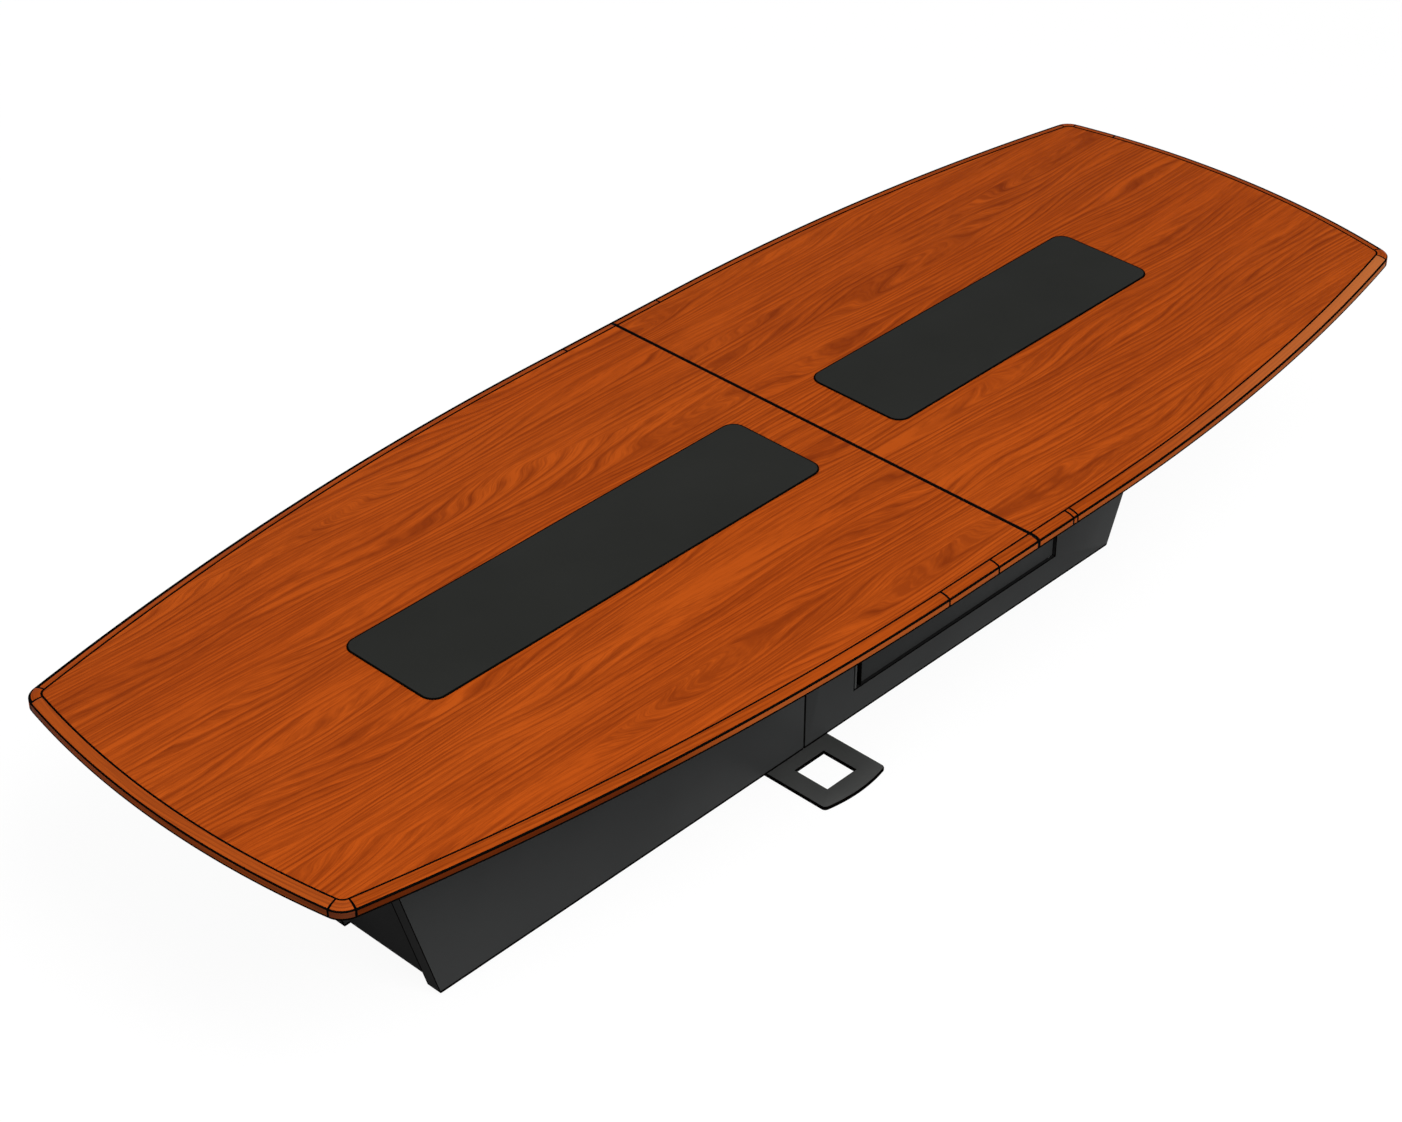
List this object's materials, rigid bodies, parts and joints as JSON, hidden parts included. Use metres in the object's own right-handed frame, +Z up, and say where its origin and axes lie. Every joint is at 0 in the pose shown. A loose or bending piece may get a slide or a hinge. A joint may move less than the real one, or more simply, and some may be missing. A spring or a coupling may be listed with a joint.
{
  "type": "conference table",
  "caption": "Boat-shaped conference table with a framed cherry top in two halves, two dark inlaid pads and a dark slab base with an access door and a cross foot.",
  "frame": {"origin": "middle of the table's bounding box, at floor level", "axes": "+X along the table to its far end (the end with the shorter half of the top), +Y across it to the side without the door, +Z up"},
  "size_m": [3.6399, 1.35, 0.7625],
  "materials": {
    "cherry_veneer": "satin lacquered cherry veneer, orange-brown",
    "cherry_moulding": "satin lacquered solid cherry",
    "black_stringing": "black through-dyed strip",
    "pad_black": "matt black writing surface",
    "slab_grey": "matt dark grey laminate on board",
    "carcass_board": "plain particle board",
    "beech": "plain turned beech",
    "foot_steel": "fine dark grey powder coat",
    "pull_metal": "dark grey satin coat",
    "zinc_steel": "zinc plated",
    "brass": "turned brass",
    "black_nylon": "moulded nylon"
  },
  "bodies": {
    "table": {"top_near": "cherry_veneer", "top_far": "cherry_veneer", "pad_near": "pad_black", "pad_far": "pad_black", "stringing_near": "black_stringing", "stringing_far": "black_stringing", "moulding_end_near": "cherry_moulding", "moulding_end_far_long": "cherry_moulding", "moulding_end_far_short": "cherry_moulding", "corner_near_front": "cherry_moulding", "corner_near_back": "cherry_moulding", "corner_far_front": "cherry_moulding", "corner_far_back": "cherry_moulding", "moulding_front_near_long": "cherry_moulding", "moulding_front_near_mid": "cherry_moulding", "moulding_front_near_short": "cherry_moulding", "moulding_front_far_short": "cherry_moulding", "moulding_infill": "cherry_moulding", "moulding_front_far_long": "cherry_moulding", "moulding_back_near_long": "cherry_moulding", "moulding_back_near_short": "cherry_moulding", "moulding_back_far_short": "cherry_moulding", "moulding_back_far_long": "cherry_moulding", "seam_dowels": "beech", "seam_bolts": "zinc_steel", "side_front_near": "slab_grey", "side_front_far": "slab_grey", "side_back_near": "slab_grey", "side_back_far": "slab_grey", "end_panel_near": "slab_grey", "end_panel_far": "slab_grey", "bulkhead": "carcass_board", "top_rail_near": "carcass_board", "top_rail_seam": "carcass_board", "top_rail_far": "carcass_board", "bottom_rail_near": "carcass_board", "bottom_rail_far": "carcass_board", "splice_plates": "foot_steel", "top_brackets": "zinc_steel", "rail_screws": "zinc_steel", "bracket_screws": "zinc_steel", "splice_screws": "zinc_steel", "base_dowels": "beech", "cross_foot": "foot_steel", "foot_screws": "zinc_steel", "pivot_pins": "zinc_steel", "magnet_catch": "black_nylon", "glide_inserts": "brass"},
    "door": {"door_leaf": "slab_grey", "door_pull": "pull_metal", "pivot_bushes": "brass", "strike_plate": "zinc_steel"},
    "glide_front_1": {"glide_front_1": "black_nylon"},
    "glide_front_2": {"glide_front_2": "black_nylon"},
    "glide_front_3": {"glide_front_3": "black_nylon"},
    "glide_front_4": {"glide_front_4": "black_nylon"},
    "glide_back_1": {"glide_back_1": "black_nylon"},
    "glide_back_2": {"glide_back_2": "black_nylon"},
    "glide_back_3": {"glide_back_3": "black_nylon"},
    "glide_back_4": {"glide_back_4": "black_nylon"}
  },
  "joints": [
    {"name": "door_hinge", "type": "hinge", "parent": "table", "child": "door", "pos_m": [0.872, -0.165, 0.3695], "axis": [0, 0, 1], "range_deg": [0, 95]},
    {"name": "glide_front_1_screw", "type": "slide", "parent": "table", "child": "glide_front_1", "axis": [0, 0, 1], "range_m": [-0.012, 0]},
    {"name": "glide_front_2_screw", "type": "slide", "parent": "table", "child": "glide_front_2", "axis": [0, 0, 1], "range_m": [-0.012, 0]},
    {"name": "glide_front_3_screw", "type": "slide", "parent": "table", "child": "glide_front_3", "axis": [0, 0, 1], "range_m": [-0.012, 0]},
    {"name": "glide_front_4_screw", "type": "slide", "parent": "table", "child": "glide_front_4", "axis": [0, 0, 1], "range_m": [-0.012, 0]},
    {"name": "glide_back_1_screw", "type": "slide", "parent": "table", "child": "glide_back_1", "axis": [0, 0, 1], "range_m": [-0.012, 0]},
    {"name": "glide_back_2_screw", "type": "slide", "parent": "table", "child": "glide_back_2", "axis": [0, 0, 1], "range_m": [-0.012, 0]},
    {"name": "glide_back_3_screw", "type": "slide", "parent": "table", "child": "glide_back_3", "axis": [0, 0, 1], "range_m": [-0.012, 0]},
    {"name": "glide_back_4_screw", "type": "slide", "parent": "table", "child": "glide_back_4", "axis": [0, 0, 1], "range_m": [-0.012, 0]}
  ]
}
